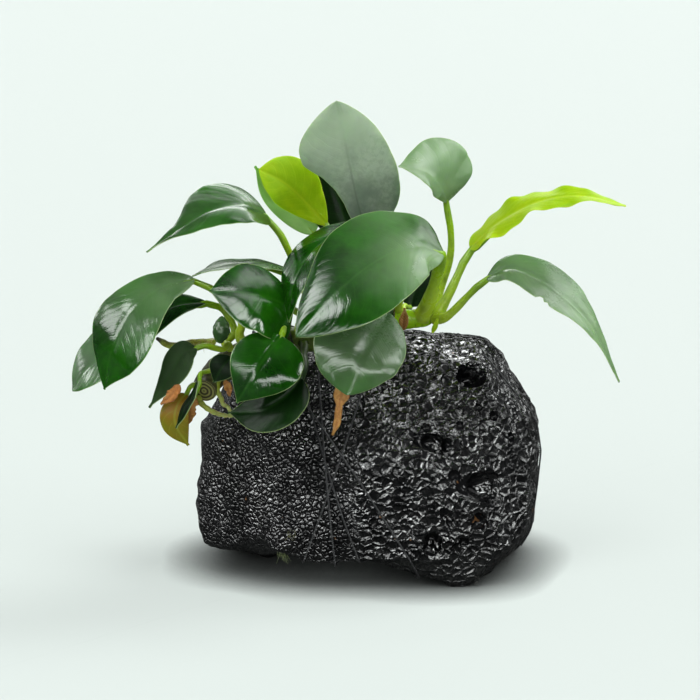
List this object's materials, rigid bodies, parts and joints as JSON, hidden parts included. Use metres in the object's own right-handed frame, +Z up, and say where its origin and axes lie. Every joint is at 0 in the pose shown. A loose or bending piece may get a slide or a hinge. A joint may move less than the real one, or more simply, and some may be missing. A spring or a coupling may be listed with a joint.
{
  "type": "anubias on stone",
  "caption": "Broad-leaved water plant whose creeping rhizome is bound with black thread to a rough block of black lava stone that stands on its flat underside.",
  "frame": {"origin": "at the level of the stone's flat underside, under the middle of the whole's box", "axes": "+Z up, +X along the stone towards the growing tip of the rhizome, -Y the front with the large leaves"},
  "size_m": [0.1615, 0.0853, 0.1405],
  "materials": {
    "stone": "wet black lava with glints, pitted and lumpy",
    "rhizome": "ringed green stem, dark and dirty at its old end",
    "leaf": "deep green, wet and glossy in patches, lighter margin and veins",
    "dull_leaf": "grey-green, soft sheen",
    "shaded_leaf": "very dark green, glossy",
    "fresh_leaf": "light green, slightly see-through",
    "young_leaf": "yellow-green, see-through to light from behind",
    "old_leaf": "olive yellow with orange-brown edges",
    "dried_leaf": "dry tan and orange, papery",
    "stalk": "yellow-green, smooth",
    "root": "pale yellow-green, thin",
    "thread": "black twisted thread"
  },
  "bodies": {
    "root": {"stone": "stone", "rhizome": "rhizome", "blade_crown": "dull_leaf", "stalk_crown": "stalk", "blade_back_upper": "shaded_leaf", "stalk_back_upper": "stalk", "blade_young_left": "young_leaf", "stalk_young_left": "stalk", "blade_back_left": "fresh_leaf", "stalk_back_left": "stalk", "blade_left_upper": "leaf", "stalk_left_upper": "stalk", "blade_left_flat": "fresh_leaf", "stalk_left_flat": "stalk", "blade_left_glossy": "leaf", "stalk_left_glossy": "stalk", "blade_left_long": "leaf", "stalk_left_long": "stalk", "blade_left_under": "shaded_leaf", "stalk_left_under": "stalk", "blade_front_low": "leaf", "stalk_front_low": "stalk", "blade_on_stone": "shaded_leaf", "stalk_on_stone": "stalk", "blade_front_big": "leaf", "stalk_front_big": "stalk", "blade_front_back": "leaf", "stalk_front_back": "stalk", "blade_front_hang": "leaf", "stalk_front_hang": "stalk", "blade_back_right": "shaded_leaf", "stalk_back_right": "stalk", "blade_right_top": "leaf", "stalk_right_top": "stalk", "blade_young_right": "young_leaf", "stalk_young_right": "stalk", "blade_right_long": "leaf", "stalk_right_long": "stalk", "blade_small_droop": "dull_leaf", "stalk_small_droop": "stalk", "blade_small_twist": "shaded_leaf", "stalk_small_twist": "stalk", "blade_old_yellow": "old_leaf", "stalk_old_yellow": "stalk", "blade_small_round": "shaded_leaf", "stalk_small_round": "stalk", "dried_sheath": "dried_leaf", "tip_sheath": "dried_leaf", "old_sheath": "dried_leaf", "dried_scrap": "dried_leaf", "broken_stalk": "old_leaf", "bud": "shaded_leaf", "root_down": "root", "root_slant": "root", "root_front": "root", "thread_1": "thread", "thread_2": "thread", "thread_3": "thread", "thread_4": "thread", "thread_side": "thread"}
  },
  "joints": []
}
